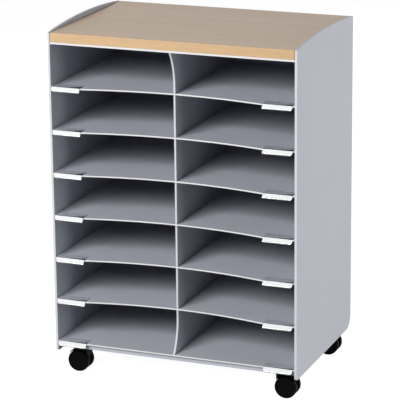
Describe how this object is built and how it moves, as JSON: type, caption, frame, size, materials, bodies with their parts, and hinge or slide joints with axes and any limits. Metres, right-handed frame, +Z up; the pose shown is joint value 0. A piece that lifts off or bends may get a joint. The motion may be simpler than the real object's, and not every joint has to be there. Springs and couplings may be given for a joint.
{
  "type": "pigeonhole mail sorter",
  "caption": "Mobile pigeonhole mail sorter: open trays in two columns between arched side panels, label holder on each tray front, wood-faced top, twin-wheel castors.",
  "frame": {"origin": "on the floor under the middle of the sorter's outer box", "axes": "+Z up, +X to the right seen from the open front, the open front faces -Y"},
  "size_m": [0.52, 0.355, 0.7245],
  "materials": {
    "grey_polystyrene": "satin grey sheet",
    "beech_board": "beech laminate, satin",
    "clear_plastic": "clear, glossy",
    "black_nylon": "moulded black, satin",
    "black_steel": "black paint, satin",
    "zinc_steel": "zinc plated"
  },
  "bodies": {
    "cabinet": {"left_side_panel": "grey_polystyrene", "right_side_panel": "grey_polystyrene", "back_panel": "grey_polystyrene", "base_board": "grey_polystyrene", "bottom_shelf": "grey_polystyrene", "top_panel": "grey_polystyrene", "centre_divider": "grey_polystyrene", "top_board": "beech_board", "shelf_1": "grey_polystyrene", "shelf_2": "grey_polystyrene", "shelf_3": "grey_polystyrene", "shelf_4": "grey_polystyrene", "shelf_5": "grey_polystyrene", "shelf_6": "grey_polystyrene", "label_holder_left_1": "clear_plastic", "label_holder_left_2": "clear_plastic", "label_holder_left_3": "clear_plastic", "label_holder_left_4": "clear_plastic", "label_holder_left_5": "clear_plastic", "label_holder_left_6": "clear_plastic", "label_holder_left_7": "clear_plastic", "label_holder_right_1": "clear_plastic", "label_holder_right_2": "clear_plastic", "label_holder_right_3": "clear_plastic", "label_holder_right_4": "clear_plastic", "label_holder_right_5": "clear_plastic", "label_holder_right_6": "clear_plastic", "label_holder_right_7": "clear_plastic", "castor_front_left_plate": "black_steel", "castor_front_left_kingpin": "zinc_steel", "castor_front_right_plate": "black_steel", "castor_front_right_kingpin": "zinc_steel", "castor_rear_left_plate": "black_steel", "castor_rear_left_kingpin": "zinc_steel", "castor_rear_right_plate": "black_steel", "castor_rear_right_kingpin": "zinc_steel"},
    "castor_front_left_swivel": {"castor_front_left_hood": "black_nylon", "castor_front_left_axle": "zinc_steel"},
    "castor_front_left_front_wheel": {"castor_front_left_front_wheel": "black_nylon"},
    "castor_front_left_rear_wheel": {"castor_front_left_rear_wheel": "black_nylon"},
    "castor_front_right_swivel": {"castor_front_right_hood": "black_nylon", "castor_front_right_axle": "zinc_steel"},
    "castor_front_right_front_wheel": {"castor_front_right_front_wheel": "black_nylon"},
    "castor_front_right_rear_wheel": {"castor_front_right_rear_wheel": "black_nylon"},
    "castor_rear_left_swivel": {"castor_rear_left_hood": "black_nylon", "castor_rear_left_axle": "zinc_steel"},
    "castor_rear_left_front_wheel": {"castor_rear_left_front_wheel": "black_nylon"},
    "castor_rear_left_rear_wheel": {"castor_rear_left_rear_wheel": "black_nylon"},
    "castor_rear_right_swivel": {"castor_rear_right_hood": "black_nylon", "castor_rear_right_axle": "zinc_steel"},
    "castor_rear_right_front_wheel": {"castor_rear_right_front_wheel": "black_nylon"},
    "castor_rear_right_rear_wheel": {"castor_rear_right_rear_wheel": "black_nylon"}
  },
  "joints": [
    {"name": "castor_front_left_turn", "type": "hinge", "parent": "cabinet", "child": "castor_front_left_swivel", "pos_m": [-0.2145, -0.123, 0.056], "axis": [0, 0, 1], "continuous": true},
    {"name": "castor_front_left_front_wheel_spin", "type": "hinge", "parent": "castor_front_left_swivel", "child": "castor_front_left_front_wheel", "pos_m": [-0.2255, -0.123, 0.02289], "axis": [0, 1, 0], "continuous": true},
    {"name": "castor_front_left_rear_wheel_spin", "type": "hinge", "parent": "castor_front_left_swivel", "child": "castor_front_left_rear_wheel", "pos_m": [-0.2255, -0.123, 0.02289], "axis": [0, 1, 0], "continuous": true},
    {"name": "castor_front_right_turn", "type": "hinge", "parent": "cabinet", "child": "castor_front_right_swivel", "pos_m": [0.2145, -0.123, 0.056], "axis": [0, 0, 1], "continuous": true},
    {"name": "castor_front_right_front_wheel_spin", "type": "hinge", "parent": "castor_front_right_swivel", "child": "castor_front_right_front_wheel", "pos_m": [0.2255, -0.123, 0.02289], "axis": [0, 1, 0], "continuous": true},
    {"name": "castor_front_right_rear_wheel_spin", "type": "hinge", "parent": "castor_front_right_swivel", "child": "castor_front_right_rear_wheel", "pos_m": [0.2255, -0.123, 0.02289], "axis": [0, 1, 0], "continuous": true},
    {"name": "castor_rear_left_turn", "type": "hinge", "parent": "cabinet", "child": "castor_rear_left_swivel", "pos_m": [-0.2145, 0.1435, 0.056], "axis": [0, 0, 1], "continuous": true},
    {"name": "castor_rear_left_front_wheel_spin", "type": "hinge", "parent": "castor_rear_left_swivel", "child": "castor_rear_left_front_wheel", "pos_m": [-0.2255, 0.1435, 0.02289], "axis": [0, 1, 0], "continuous": true},
    {"name": "castor_rear_left_rear_wheel_spin", "type": "hinge", "parent": "castor_rear_left_swivel", "child": "castor_rear_left_rear_wheel", "pos_m": [-0.2255, 0.1435, 0.02289], "axis": [0, 1, 0], "continuous": true},
    {"name": "castor_rear_right_turn", "type": "hinge", "parent": "cabinet", "child": "castor_rear_right_swivel", "pos_m": [0.2145, 0.1435, 0.056], "axis": [0, 0, 1], "continuous": true},
    {"name": "castor_rear_right_front_wheel_spin", "type": "hinge", "parent": "castor_rear_right_swivel", "child": "castor_rear_right_front_wheel", "pos_m": [0.2255, 0.1435, 0.02289], "axis": [0, 1, 0], "continuous": true},
    {"name": "castor_rear_right_rear_wheel_spin", "type": "hinge", "parent": "castor_rear_right_swivel", "child": "castor_rear_right_rear_wheel", "pos_m": [0.2255, 0.1435, 0.02289], "axis": [0, 1, 0], "continuous": true}
  ]
}
